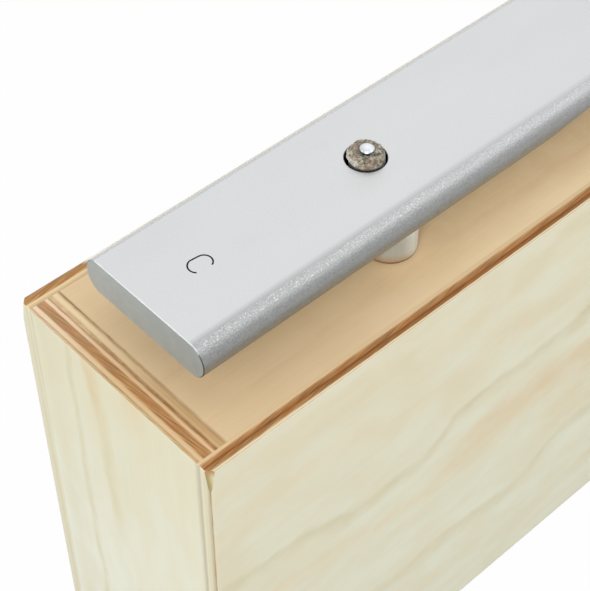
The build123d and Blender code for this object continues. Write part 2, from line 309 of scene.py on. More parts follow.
bump = addNode(tree, "Bump", named={"Height": height, "Strength": 1.0, "Distance": mm})
tree.links.new(bump.outputs[0], shader.inputs["Normal"])
dress(barMaterial, "bar_aluminium", "tone_bar")
print("tone bar dressed")


# Plywood: a rotary-cut face veneer over crossed plies, sanded and clear lacquered. The eye sees pale satin
# faces with soft growth marks, and edges striped by dark glue and by the fibrous ends of the crossed plies.
# Widths are in mm. Real fibres are about 0.05 mm, so a fibre here is a bundle of them, as fine as can show.
veneer = {"waver": 0.18, "fibre": 0.36, "bundle": 1.1, "slant": -7.5, "hair": 0.8, "cloud": 13.0,
          "bend": 11.0, "ripple": 3.4, "streak": 5.0, "gap": 8.0, "faceRoughness": 0.48,
          "edgeRoughness": 0.72,
          "palingColour": "#FCEEDB", "deepColour": "#6E3F18", "rimColour": "#F7F1E4", "wornPale": "#CBC19B",
          "wornTop": "#A07040", "wornAcross": (245.6, 244.4), "wornUp": (216.8, 219.8)}


def plywood(ply):
    material, tree, shader, place, xyz = newMaterial(ply["name"], Specular_IOR_Level=0.25)
    thick, grain, across = ply["axes"]
    edgePlane = "XYZ".replace(thick, "")
    normal = addNode(tree, "NewGeometry").outputs["Normal"]
    facing = dict(zip("XYZ", addNode(tree, "SeparateXYZ", normal).outputs))
    steep = addNode(tree, "Math", facing["Z"], operation="ABSOLUTE")

    # the cut edges, by depth below the outer face
    depth = addNode(tree, "Math", xyz[thick], ply["outer"], operation="SUBTRACT")
    depth = addNode(tree, "Math", depth, ply["inward"], operation="MULTIPLY")
    waver = mottle(tree, place, 2.0, along=edgePlane, stretch=7, detail=2.0)
    waver = addNode(tree, "MapRange", waver, 0.2, 0.8, -veneer["waver"], veneer["waver"])
    wavered = addNode(tree, "Math", depth, waver, operation="ADD")
    if "sanding" in ply:  # the face ply thins out along the panel, and what lies under it comes nearer
        sanded = addNode(tree, "MapRange", xyz[ply["sanding"][0]], *ply["sanding"][1:])
        for ease in ((0.3, 1.0), (5.4, 2.8)):
            within = addNode(tree, "MapRange", depth, *ease)
            sanded = addNode(tree, "Math", sanded, within, operation="MULTIPLY")
        wavered = addNode(tree, "Math", wavered, sanded, operation="ADD")
    depth = wavered
    share = addNode(tree, "Math", depth, ply["thickness"], operation="DIVIDE")
    edges = [addNode(tree, "ValToRGB", share, stops=[(d / ply["thickness"], c) for d, c in stops])
             for stops in (ply["flatEdge"], ply["uprightEdge"])]
    upright = addNode(tree, "MapRange", steep, 0.75, 0.6)
    edge = addNode(tree, "Mix", upright, edges[0], edges[1], data_type="RGBA")
    core = addNode(tree, "MapRange", addNode(tree, "RGBToBW", edge), 0.46, 0.30)  # the dark crossed ply
    slant = addNode(tree, "Mapping", place, None, (0, 0, math.radians(veneer["slant"])))
    fibres = mottle(tree, slant, veneer["fibre"], along=edgePlane, stretch=30, detail=2.0, roughness=0.6)
    coreTone = addNode(tree, "MapRange", fibres, 0.36, 0.64, 0.64, 1.22)
    paleTone = addNode(tree, "MapRange", fibres, 0.3, 0.7, 0.97, 1.02)
    edge = addNode(tree, "Mix", 1.0, edge, addNode(tree, "Mix", core, paleTone, coreTone),
                   data_type="RGBA", blend_type="MULTIPLY")
    bundles = mottle(tree, slant, veneer["bundle"], along=edgePlane, stretch=10, seed=3.0)
    bundles = addNode(tree, "MapRange", bundles, 0.50, 0.62, 0.0, 0.6)
    bundles = addNode(tree, "Math", core, bundles, operation="MULTIPLY")
    edge = addNode(tree, "Mix", bundles, edge, ply["fibre"], data_type="RGBA")
    if "paling" in ply:  # the edge is paler along here, its crossed ply less so
        paling = addNode(tree, "MapRange", xyz[ply["paling"][0]], *ply["paling"][1:])
        paling = addNode(tree, "Math", paling, addNode(tree, "MapRange", core, 0.0, 1.0, 1.0, 0.2),
                         operation="MULTIPLY")
        edge = addNode(tree, "Mix", paling, edge, veneer["palingColour"], data_type="RGBA")
    if "deepen" in ply:  # the crossed ply is a deeper brown along here
        deep = addNode(tree, "MapRange", xyz[ply["deepen"][0]], *ply["deepen"][1:])
        deep = addNode(tree, "Math", deep, addNode(tree, "MapRange", depth, 3.6, 2.9), operation="MULTIPLY")
        deep = addNode(tree, "Math", deep, core, operation="MULTIPLY")
        edge = addNode(tree, "Mix", deep, edge, veneer["deepColour"], data_type="RGBA")
    if "paleRim" in ply:  # a paler outermost ply along here
        rim = addNode(tree, "MapRange", xyz["X"], *ply["paleRim"])
        rim = addNode(tree, "Math", rim, addNode(tree, "MapRange", depth, 1.6, 1.1), operation="MULTIPLY")
        edge = addNode(tree, "Mix", rim, edge, veneer["rimColour"], data_type="RGBA")
    if "worn" in ply:  # the rounded corner, sanded through to the brown ply at its top
        corner = addNode(tree, "Math", facing["X"], facing["Y"], operation="MULTIPLY")
        corner = addNode(tree, "MapRange", addNode(tree, "Math", corner, operation="ABSOLUTE"), 0.38, 0.47)
        wear = addNode(tree, "MapRange", xyz["Z"], *ply["worn"], 0.25, 0.9)
        reach = addNode(tree, "Math", xyz["X"], operation="ABSOLUTE")
        worn = addNode(tree, "Mix", addNode(tree, "MapRange", reach, *veneer["wornAcross"]),
                       ply["wornColour"], veneer["wornPale"], data_type="RGBA")
        browner = addNode(tree, "MapRange", xyz["Z"], *veneer["wornUp"])
        worn = addNode(tree, "Mix", browner, worn, veneer["wornTop"], data_type="RGBA")
        wear = addNode(tree, "Math", corner, wear, operation="MULTIPLY")
        edge = addNode(tree, "Mix", wear, edge, worn, data_type="RGBA")

    # the face: ground and clouds, then the growth marks, each a broken band that wanders along the grain
    clouds = mottle(tree, place, veneer["cloud"], along=grain, stretch=2.2, detail=2.0, seed=ply["seed"])
    clouds = addNode(tree, "MapRange", clouds, 0.38, 0.66, 0.0, ply["clouds"])
    lean = addNode(tree, "MapRange", xyz[ply["lean"][0]], *ply["lean"][1:])
    face = addNode(tree, "Mix", lean, ply["ground"], ply["secondGround"], data_type="RGBA")
    face = addNode(tree, "Mix", clouds, face, ply["cloudColour"], data_type="RGBA")
    bend = mottle(tree, place, veneer["bend"], along=grain, stretch=2, detail=1.0, seed=ply["seed"] + 2)
    bend = addNode(tree, "MapRange", bend, 0.25, 0.75, -ply["wander"], ply["wander"])
    ripple = mottle(tree, place, veneer["ripple"], along=grain, stretch=1.6, detail=3.0, roughness=0.6,
                    seed=ply["seed"])
    ripple = addNode(tree, "MapRange", ripple, 0.2, 0.8, -ply["wander"] / 2, ply["wander"] / 2)
    wandering = addNode(tree, "Math", xyz[across], bend, operation="ADD")
    wandering = addNode(tree, "Math", wandering, ripple, operation="ADD")
    broken = mottle(tree, place, veneer["gap"], along=grain, stretch=1.6, detail=3.0, roughness=0.6,
                    seed=ply["seed"] + 6)
    broken = addNode(tree, "MapRange", broken, 0.34, 0.62, 0.55, 1.15)
    streaks = mottle(tree, place, veneer["streak"], along=grain, stretch=22, detail=2.0, seed=ply["seed"] + 4)
    streakTone = addNode(tree, "MapRange", streaks, 0.35, 0.7, 1.0 + ply["streaks"] / 3, 1.0 - ply["streaks"])
    face = addNode(tree, "Mix", 1.0, face, streakTone, data_type="RGBA", blend_type="MULTIPLY")
    if "faceShade" in ply:  # painted shade: the whole face is a little darker one way
        faceShade = addNode(tree, "MapRange", xyz[ply["faceShade"][0]], *ply["faceShade"][1:])
        face = addNode(tree, "Mix", 1.0, face, faceShade, data_type="RGBA", blend_type="MULTIPLY")
    low, high = ply["span"]  # the panel's reach along the grain
    for mark in ply["marks"]:
        base = min(level for where, level in mark["line"]) - 1
        rise = max(level for where, level in mark["line"]) + 1 - base
        points = [((where - low) / (high - low), (level - base) / rise) for where, level in mark["line"]]
        along = addNode(tree, "MapRange", xyz[grain], low, high)
        line = addNode(tree, "FloatCurve", 1.0, along, curve=points)
        centre = addNode(tree, "MapRange", line, 0.0, 1.0, base, base + rise)
        off = addNode(tree, "Math", wandering, centre, operation="SUBTRACT")
        below = addNode(tree, "MapRange", off, -mark["below"], 0.0, 0.0, mark["tone"],
                        interpolation_type="SMOOTHSTEP")
        above = addNode(tree, "MapRange", off, 0.0, mark["above"], 1.0, 0.0, interpolation_type="SMOOTHSTEP")
        share = addNode(tree, "Math", below, above, operation="MULTIPLY")
        share = addNode(tree, "Math", share, broken, operation="MULTIPLY")
        if "reach" in mark:  # where along the grain it comes in and goes out, and how softly
            start, end, soft = mark["reach"]
            for edgeIn, edgeOut in ((start - soft, start + soft), (end + soft, end - soft)):
                ease = addNode(tree, "MapRange", xyz[grain], edgeIn, edgeOut, interpolation_type="SMOOTHSTEP")
                share = addNode(tree, "Math", share, ease, operation="MULTIPLY")
        face = addNode(tree, "Mix", share, face, mark["colour"], data_type="RGBA")
    hairs = mottle(tree, place, veneer["hair"], along=grain, stretch=40, detail=3.0, roughness=0.6)
    hairTone = addNode(tree, "MapRange", hairs, 0.3, 0.7, 1.0 - ply["hairs"], 1.0 + ply["hairs"] / 2)
    face = addNode(tree, "Mix", 1.0, face, hairTone, data_type="RGBA", blend_type="MULTIPLY")

    for glueAndShade in ply.get("glueAndShade", []):  # dark glue at the joints with the neighbours; a broad entry is painted shade instead
        off = addNode(tree, "Math", xyz[glueAndShade["axis"]], glueAndShade["place"], operation="SUBTRACT")
        share = addNode(tree, "MapRange", addNode(tree, "Math", off, operation="ABSOLUTE"), glueAndShade["wide"], 0.1,
                        0.0, glueAndShade["tone"], interpolation_type="SMOOTHSTEP")
        gaps = addNode(tree, "MapRange", mottle(tree, place, 6.0, detail=2.0, seed=9), 0.35, 0.55, 0.65, 1.0)
        share = addNode(tree, "Math", share, gaps, operation="MULTIPLY")
        ease = addNode(tree, "MapRange", xyz[glueAndShade["along"]], *glueAndShade["ease"], *glueAndShade["shares"],
                       interpolation_type="SMOOTHSTEP")
        share = addNode(tree, "Math", share, ease, operation="MULTIPLY")
        face = addNode(tree, "Mix", share, face, glueAndShade["colour"], data_type="RGBA")

    flat = addNode(tree, "MapRange", addNode(tree, "Math", facing[thick], operation="ABSOLUTE"), 0.82, 0.93)
    colour = addNode(tree, "Mix", flat, edge, face, data_type="RGBA")
    tree.links.new(colour.outputs[2], shader.inputs["Base Color"])
    rough = addNode(tree, "MapRange", flat, 0.0, 1.0, veneer["edgeRoughness"], veneer["faceRoughness"])
    tree.links.new(rough.outputs[0], shader.inputs["Roughness"])
    fibreHeight = addNode(tree, "Mix", flat, fibres, hairs)
    height = addNode(tree, "Math", fibreHeight, addNode(tree, "MapRange", flat, 0.0, 1.0, 0.03, 0.012),
                     operation="MULTIPLY")
    bump = addNode(tree, "Bump", named={"Height": height, "Strength": 1.0, "Distance": mm})
    tree.links.new(bump.outputs[0], shader.inputs["Normal"])
    return material


# Panels of pine plywood. Edge stripes are (depth in mm, colour), and growth marks run (place, level) along
# the grain. An entry such as ("X", 10, 20, 0.0, 0.5) goes from 0.0 at X = 10 mm to 0.5 at X = 20 mm.
frontLow, frontHigh = millimetreBox("side_panel_front")
backHigh = millimetreBox("side_panel_back")[1]
leftLow, leftHigh = millimetreBox("end_panel_left")
rightHigh = millimetreBox("end_panel_right")[1]
frontEdge = [(0.0, "#D8C4A2"), (0.5, "#DBC8A8"), (1.0, "#B69A72"), (1.5, "#987346"), (2.1, "#A07442"),
             (2.5, "#905F31"), (2.8, "#7C491C"), (3.1, "#97643A"), (3.5, "#AA774A"), (4.1, "#A77A4A"),
             (4.6, "#B69162"), (5.0, "#D6B58C"), (5.4, "#D6BA8F"), (6.0, "#D2B88D")]
backEdge = [(0.0, "#B59B7C"), (0.6, "#AB8963"), (1.2, "#A87F52"), (1.8, "#A97E4E"), (2.4, "#AC8353"),
            (3.1, "#B08A58"), (3.5, "#BB9363"), (3.9, "#DEBE91"), (4.3, "#E6CCA2"), (4.8, "#DABE95"),
            (5.4, "#C9B187"), (6.0, "#C4A97E")]
frontUpright = [(0.0, "#A98F6E"), (0.5, "#B7AA8F"), (0.9, "#C1B79D"), (1.4, "#CDC5A9"), (1.9, "#D8D1B6"),
                (2.9, "#D6CFB4"), (3.9, "#DFD9C0"), (4.4, "#D2CBB2"), (4.9, "#C0B8A0"), (5.4, "#C3BCA4"),
                (6.0, "#CBC6AE")]
backUpright = [(0.0, "#E4DDC8"), (0.8, "#DED8C4"), (1.4, "#DAD5BF"), (2.6, "#DCD6BC"), (3.8, "#D7D1B6"),
               (4.4, "#D7D1B5"), (5.0, "#DCD6BA"), (6.0, "#E0DABE")]
endEdge = [(0.0, "#B9A17B"), (0.4, "#BDA47B"), (0.9, "#B4966A"), (1.3, "#D0B389"), (1.8, "#D8B98E"),
           (2.6, "#D2AF83"), (3.0, "#BC9566"), (3.4, "#A98150"), (4.2, "#AF8050"), (5.0, "#AF8050"),
           (5.9, "#AF8859"), (6.2, "#C39C6B"), (6.6, "#DCB68C"), (7.2, "#D4B088"), (7.7, "#B6946A"),
           (8.0, "#9C7649")]
sideMarks = [
    {"line": [(-246, 205), (-186, 209), (-126, 200), (-66, 211), (40, 203), (150, 209), (246, 202)],
     "below": 13, "above": 9, "tone": 0.40, "colour": "#DACBA9"},
    {"line": [(-246, 178), (-190, 185), (-150, 172), (-60, 176), (60, 166), (246, 171)],
     "below": 16, "above": 9, "tone": 0.32, "colour": "#DBCBAA"},
    {"line": [(-246, 150), (-206, 144), (-146, 134), (-126, 146), (-50, 149), (60, 143), (150, 150),
              (246, 146)],
     "below": 9, "above": 5, "tone": 0.52, "colour": "#C9C09E"},
    {"line": [(-246, 124), (-190, 121), (-150, 114), (-120, 122), (-94, 127), (-40, 123), (60, 116),
              (246, 120)],
     "below": 27, "above": 10, "tone": 0.58, "colour": "#DAC4A0", "reach": (-126, 150, 20)},
    {"line": [(-246, 124), (-190, 121), (-150, 112), (-94, 118), (-40, 124), (60, 116), (246, 121)],
     "below": 12, "above": 7, "tone": 0.36, "colour": "#DAC7A2"},
    {"line": [(-246, 58), (-130, 64), (-86, 62), (-68, 66), (-50, 76), (80, 68), (246, 70)],
     "below": 9, "above": 5, "tone": 0.42, "colour": "#CCC19E"},
    {"line": [(-246, 92), (-120, 94), (-62, 96), (-30, 90), (60, 94), (246, 90)],
     "below": 25, "above": 14, "tone": 0.46, "colour": "#D9C7A0", "reach": (-66, 60, 10)},
    {"line": [(-246, 30), (-100, 36), (40, 28), (246, 34)],
     "below": 12, "above": 7, "tone": 0.25, "colour": "#D6C8A6"},
]
endMarks = [
    {"line": [(0, -6), (100, 2), (154, 8), (190, 10), (220, 14)],
     "below": 9, "above": 4, "tone": 0.50, "colour": "#DABF90", "reach": (188, 250, 14)},
    {"line": [(0, -6), (100, 2), (154, 8), (190, 10), (220, 13)],
     "below": 8, "above": 4, "tone": 0.48, "colour": "#D2C7A0", "reach": (130, 200, 24)},
    {"line": [(0, 22), (110, 23), (220, 24.4)],
     "below": 3.5, "above": 2.0, "tone": 0.42, "colour": "#CFC49C"},
    {"line": [(0, -8), (120, -6), (220, -10)], "below": 10, "above": 8, "tone": 0.5, "colour": "#DFC598",
     "reach": (208, 260, 12)},
    {"line": [(0, -14), (110, -11), (220, -14)], "below": 8, "above": 5, "tone": 0.12, "colour": "#DCCBA4"},
    {"line": [(0, 38), (110, 36), (220, 38)], "below": 12, "above": 7, "tone": 0.20, "colour": "#D8CBA2"},
]
# side and end faces get lighter towards the bottom through their lean: painted bounce light from the floor
side = {"axes": "YXZ", "thickness": 6.0, "span": (-246, 246), "marks": sideMarks, "ground": "#DFDBC3",
        "secondGround": "#DEDECA", "lean": ("Z", 220, 60), "cloudColour": "#DACDAC", "clouds": 0.42,
        "wander": 2.6, "streaks": 0.012, "hairs": 0.012, "fibre": "#A5672F",
        # painted shade: the side is darker towards its left end
        "paling": ("X", -246, 246, 0.0, 0.08), "faceShade": ("X", -240, -40, 0.945, 1.02),
        "worn": (frontHigh[2] - 13, frontHigh[2] - 7), "wornColour": "#94804F"}
end = {"axes": "XZY", "thickness": 8.0, "flatEdge": endEdge, "uprightEdge": endEdge, "span": (0, 220),
       "marks": endMarks, "ground": "#DDD9BF", "secondGround": "#E5E6D6", "lean": ("Z", 212, 90),
       "cloudColour": "#DED2B0", "clouds": 0.3, "wander": 1.2, "streaks": 0.012, "hairs": 0.012,
       "fibre": "#AC6F42", "paling": ("Y", 0, 44, 0.0, 0.36),
       "glueAndShade": [{"axis": "Y", "place": leftLow[1], "wide": 1.4, "tone": 0.34, "colour": "#8F7C58",
                 "along": "Z", "ease": (150, 215), "shares": (0.55, 1.0)},
                {"axis": "Y", "place": leftHigh[1], "wide": 1.2, "tone": 0.34, "colour": "#A1764C",
                 "along": "Z", "ease": (150, 215), "shares": (0.4, 1.0)}]}
# the back and the right end are cut from other parts of the sheet, so their marks run the other way round
backMarks = []
for mark in sideMarks:
    flipped = dict(mark, line=[(-where, 220 - level) for where, level in reversed(mark["line"])])
    if "reach" in mark:
        start, stop, soft = mark["reach"]
        flipped["reach"] = (-stop, -start, soft)
    backMarks.append(flipped)
rightMarks = [dict(mark, line=[(where, -level) for where, level in mark["line"]]) for mark in endMarks]
frontPly = dict(side, name="pinePlywoodFront", outer=frontLow[1], inward=1, flatEdge=frontEdge,
                uprightEdge=frontUpright, sanding=("X", -215, -150, 0.0, 0.8),
                deepen=("X", -200, -150, 0.0, 0.32), seed=11.0)
backPly = dict(side, name="pinePlywoodBack", outer=backHigh[1], inward=-1, flatEdge=backEdge,
               uprightEdge=backUpright, paleRim=(-220, -216), marks=backMarks, seed=23.0)
leftPly = dict(end, name="pinePlywoodLeftEnd", outer=leftLow[0], inward=1, seed=5.0)
rightPly = dict(end, name="pinePlywoodRightEnd", outer=rightHigh[0], inward=-1, marks=rightMarks, seed=17.0)
dress(plywood(frontPly), "side_plywood", "side_panel_front")
dress(plywood(backPly), "side_plywood", "side_panel_back")
dress(plywood(leftPly), "end_plywood", "end_panel_left")
dress(plywood(rightPly), "end_plywood", "end_panel_right")
print("panels dressed")

# Top plate of birch-faced plywood, darkened by glue where it meets the end strips and by painted shade in
# front of the bar, and the plainer bottom
plateLow, plateHigh = millimetreBox("top_plate")
bottomLow = millimetreBox("bottom_plate")[0]
plateEdge = [(0.0, "#DDBF8E"), (0.9, "#D9B985"), (1.1, "#8A5A30"), (1.35, "#B98A58"), (2.3, "#BC8D5A"),
             (2.5, "#8A5A30"), (2.75, "#E2C699"), (3.4, "#E2C699"), (3.6, "#8A5A30"), (3.85, "#B98A58"),
             (6.0, "#DDBF8E")]
faintMark = {"below": 5, "above": 2, "tone": 0.12, "colour": "#C9A06A"}
plateMarks = [dict(faintMark, line=[(-234, -12), (-150, -8), (0, -14), (234, -9)]),
              dict(faintMark, line=[(-234, 26), (-100, 30), (80, 25), (234, 30)], below=6),
              dict(faintMark, line=[(-234, -34), (-60, -30), (100, -36), (234, -32)], colour="#C79E69")]
sideGlue = {"axis": "Y", "wide": 0.5, "tone": 0.12, "colour": "#8A5C33",
            "along": "X", "ease": (-234, 234), "shares": (1.0, 1.0)}
topPly = {"name": "birchPlywoodTop", "axes": "ZXY", "outer": plateHigh[2], "inward": -1, "thickness": 6.0,
          "flatEdge": plateEdge, "uprightEdge": plateEdge, "span": (-234, 234), "marks": plateMarks,
          "ground": "#DAC099", "secondGround": "#E6CEA6", "lean": ("X", -200, -80), "cloudColour": "#CFB286",
          "clouds": 0.22, "wander": 1.2, "streaks": 0.015, "hairs": 0.03, "fibre": "#8A5730",
          # painted shade: the plate is darker towards its front edge
          "faceShade": ("Y", -44, -10, 0.96, 1.0), "seed": 31.0,
          "glueAndShade": [{"axis": "X", "place": plateLow[0], "wide": 1.1, "tone": 0.9, "colour": "#7D5526",
                    "along": "Y", "ease": (-25.0, 34.0), "shares": (0.5, 1.0)},
                   # painted shade: a broad warm band where the bar shades the plate
                   {"axis": "Y", "place": -22, "wide": 24, "tone": 0.18, "colour": "#BC8540",
                    "along": "X", "ease": (-236, -100), "shares": (0.2, 1.0)},
                   {"axis": "X", "place": plateHigh[0], "wide": 0.8, "tone": 0.8, "colour": "#6E4524",
                    "along": "Y", "ease": (-5.0, 12.0), "shares": (1.0, 0.5)},
                   dict(sideGlue, place=plateLow[1]), dict(sideGlue, place=plateHigh[1])]}
bottomPly = dict(topPly, name="poplarPlywoodBottom", outer=bottomLow[2], inward=1, ground="#DFD3B2",
                 secondGround="#D9CCA8", glueAndShade=[], seed=41.0)
dress(plywood(topPly), "top_plywood", "top_plate")
dress(plywood(bottomPly), "side_plywood", "bottom_plate")
print("plates dressed")


def planedWood(wood):
    # Planed softwood: straight grain with darker late-wood bands and short pores along one axis
    material, tree, shader, place, xyz = newMaterial(wood["name"], Roughness=0.62)
    rings = mottle(tree, place, wood["ring"], along=wood["grain"], stretch=30, detail=2.0, seed=wood["seed"])
    rings = addNode(tree, "MapRange", rings, 0.38, 0.68)
    colour = addNode(tree, "Mix", rings, wood["pale"], wood["dark"], data_type="RGBA")
    pores = mottle(tree, place, 0.5, along=wood["grain"], stretch=16, detail=3.0, roughness=0.65)
    tone = addNode(tree, "MapRange", pores, 0.3, 0.7, 0.9, 1.06)
    colour = addNode(tree, "Mix", 1.0, colour, tone, data_type="RGBA", blend_type="MULTIPLY")
    for shade in wood.get("shades", []):  # a tint that comes in across the piece, and varies along it
        off = xyz[shade["axis"]]
        if "drift" in shade:
            drift = addNode(tree, "MapRange", xyz[wood["grain"]], *shade["drift"])
            off = addNode(tree, "Math", off, drift, operation="SUBTRACT")
        share = addNode(tree, "MapRange", off, *shade["ease"], 0.0, shade["tone"],
                        interpolation_type="SMOOTHSTEP")
        if "from" in shade:
            held = addNode(tree, "MapRange", xyz[shade["along"]], *shade["from"], *shade["shares"],
                           interpolation_type="SMOOTHSTEP")
            share = addNode(tree, "Math", share, held, operation="MULTIPLY")
            gaps = mottle(tree, place, 5.0, detail=2.0, seed=13)
            gaps = addNode(tree, "MapRange", gaps, 0.35, 0.6, 0.6, 1.0)
            share = addNode(tree, "Math", share, gaps, operation="MULTIPLY")
        colour = addNode(tree, "Mix", share, colour, shade["colour"], data_type="RGBA")
    tree.links.new(colour.outputs[2], shader.inputs["Base Color"])
    bump = addNode(tree, "Bump", named={"Height": pores, "Strength": 0.6, "Distance": 0.04 * mm})
    tree.links.new(bump.outputs[0], shader.inputs["Normal"])
    return material


# End strips, browner towards the front and with a glue line each side
stripLow, stripHigh = millimetreBox("end_strip_left")
farHigh = millimetreBox("end_strip_right")[1]
strip = {"name": "pineStripLeft", "grain": "Y", "ring": 1.6, "pale": "#CBAA7C", "dark": "#BC9768",
         "seed": 2.0,
         "shades": [{"axis": "Y", "ease": (-30, 32), "tone": 0.85, "colour": "#E8CFA6"},
                    {"axis": "X", "ease": (stripLow[0] + 1.3, stripLow[0] + 0.4), "tone": 0.9,
                     "drift": (0, 30, 0.0, 0.7), "colour": "#8A5A22",
                     "along": "Y", "from": (-6, 40), "shares": (1.0, 0.45)},
                    {"axis": "X", "ease": (stripHigh[0] - 1.1, stripHigh[0] - 0.2), "tone": 0.8,
                     "colour": "#8C6630", "along": "Y", "from": (-20, 14), "shares": (0.5, 0.7)}]}
farStrip = dict(strip, name="pineStripRight", seed=6.0,
                shades=[{"axis": "Y", "ease": (30, -20), "tone": 0.75, "colour": "#E3C79C"},
                        {"axis": "X", "ease": (farHigh[0] - 0.9, farHigh[0] - 0.45), "tone": 0.9,
                         "colour": "#6B4426", "along": "Y", "from": (-6, 14), "shares": (0.5, 1.0)}])
innerWood = {"ring": 2.6, "pale": "#DFC08E", "dark": "#C59A62"}
dress(planedWood(strip), "solid_wood", "end_strip_left")
dress(planedWood(farStrip), "solid_wood", "end_strip_right")
dress(planedWood(dict(innerWood, name="pineAlong", grain="X", seed=8.0)), "solid_wood",
      *[n for n in nodes if n.startswith(("pin_block", "top_batten", "bottom_batten"))])
dress(planedWood(dict(innerWood, name="pineUpright", grain="Z", seed=12.0)), "solid_wood",
      *[n for n in nodes if n.startswith("corner_post")])
print("solid wood dressed")

# Felt sleeves: pressed wool of mixed brown and grey fibres, lumpy and frayed where it swells out of the hole
felt = {"outerRadius": 6.45, "innerRadius": 1.75, "segments": 96, "lump": 0.45, "lumpSize": 2.4, "fray": 0.3,
        "fraySize": 0.9, "swell": 0.3, "swellSide": (0.68, 0.73), "shift": (0.45, 0.25), "push": (-0.55, 0.2),
        "pale": "#CBC6B6", "mid": "#7A705C", "dark": "#2C271F", "rust": "#8A6E60", "edge": "#CFCDC0",
        "highlightSide": (-0.74, 0.67, 0), "holeShade": "#15120D", "tuft": 1.5, "fleck": 0.45, "rustPatch": 3.0}
feltMaterial, tree, shader, place, xyz = newMaterial("pressedWoolFelt", Roughness=0.95, Sheen_Weight=0.25,
                                                     Sheen_Roughness=0.5)
tufts = mottle(tree, place, felt["tuft"], detail=4.0, roughness=0.7, seed=2.0)
flecks = mottle(tree, place, felt["fleck"], detail=3.0, roughness=0.7, seed=7.0)
blend = addNode(tree, "Math", addNode(tree, "Math", tufts, 0.65, operation="MULTIPLY"),
                addNode(tree, "Math", flecks, 0.35, operation="MULTIPLY"), operation="ADD")
wool = addNode(tree, "ValToRGB", blend,
               stops=[(0.39, felt["dark"]), (0.48, felt["mid"]), (0.63, felt["pale"])])
patches = mottle(tree, place, felt["rustPatch"], detail=1.0, seed=4.0)
rust = addNode(tree, "MapRange", patches, 0.48, 0.62, 0.0, 0.45)
wool = addNode(tree, "Mix", rust, wool, felt["rust"], data_type="RGBA")
# painted highlight: paler where the swollen rim turns to the back left; painted shade: black inside the hole
normal = addNode(tree, "NewGeometry").outputs["Normal"]
rimHighlight = addNode(tree, "VectorMath", normal, felt["highlightSide"], operation="DOT_PRODUCT")
rimHighlight = addNode(tree, "MapRange", rimHighlight, 0.35, 0.85, 0.0, 0.7)
wool = addNode(tree, "Mix", rimHighlight, wool, felt["edge"], data_type="RGBA")
holeShade = addNode(tree, "MapRange", xyz["Z"], barHigh[2] + 0.5, barHigh[2] - 0.7, 0.0, 0.92)
holeShade = addNode(tree, "Math", holeShade, addNode(tree, "MapRange", xyz["Z"], barLow[2] - 1, barLow[2] + 4),
               operation="MULTIPLY")
wool = addNode(tree, "Mix", holeShade, wool, felt["holeShade"], data_type="RGBA")
tree.links.new(wool.outputs[2], shader.inputs["Base Color"])
bump = addNode(tree, "Bump", named={"Height": blend, "Strength": 1.0, "Distance": 0.5 * mm})
tree.links.new(bump.outputs[0], shader.inputs["Normal"])
for endName, pinSide in (("left", -1), ("right", 1)):
    sleeveLow, sleeveHigh = millimetreBox("felt_sleeve_" + endName)
    centre = Vector(((sleeveLow[0] + sleeveHigh[0]) / 2, (sleeveLow[1] + sleeveHigh[1]) / 2, 0))
    outer, inner = felt["outerRadius"], felt["innerRadius"]
    foot, barTop, top = sleeveLow[2], barHigh[2], sleeveHigh[2]
    # the section: the foot, up the outside, out over the bar, and over the crown to the pin
    mesh = spinProfile([(inner, foot), (outer - 0.3, foot), (outer, foot + 0.3), (outer, foot + 12),
                        (outer, barTop - 3), (outer, barTop - 1), (outer + 0.1, barTop + 0.3),
                        (outer + 0.15, barTop + 0.9), (outer + 0.1, top - 1.5), (outer - 0.35, top - 0.7),
                        (outer - 1.2, top - 0.2), (outer - 2.7, top - 0.05), (inner + 1.2, top - 0.2),
                        (inner + 0.4, top - 0.5), (inner, top - 1.0)], felt["segments"], True)
    sectionLines = [e for e in mesh.edges if all(v.co.z > barTop - 1.2 for v in e.verts)
                    and (abs(e.verts[0].co.z - e.verts[1].co.z) > 1e-4
                         or abs(e.verts[0].co.xy.length - e.verts[1].co.xy.length) > 1e-4)]
    bmesh.ops.subdivide_edges(mesh, edges=sectionLines, cuts=2, use_grid_fill=True)
    bmesh.ops.recalc_face_normals(mesh, faces=mesh.faces)
    mesh.normal_update()
    seed = Vector((17.0 * pinSide, 5.0, 3.0))
    for vertex in mesh.verts:
        outside = max(0.0, min(1.0, (vertex.co.z - barTop + 0.6) / 1.2))  # only what stands out of the hole
        if vertex.co.xy.length < inner + 0.1:
            continue
        lump = noise.noise(vertex.co / felt["lumpSize"] + seed) * felt["lump"]
        fray = noise.noise(vertex.co / felt["fraySize"] + seed) * felt["fray"]
        vertex.co += vertex.normal * (lump + fray) * outside
        around = vertex.co.xy.normalized()
        far = max(0.0, around.dot(Vector(felt["swellSide"])))
        vertex.co.xy += around * felt["swell"] * outside * far  # swells over the hole's far rim
        vertex.co.xy += Vector(felt["shift"]) + Vector(felt["push"]) * outside
    for vertex in mesh.verts:
        vertex.co = (vertex.co + centre) * mm
    sleeve = smoothObject("woolSleeve_" + endName, mesh, feltMaterial)
    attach(sleeve, "box")
    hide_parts("felt_sleeve_" + endName)
print("felt sleeves made")

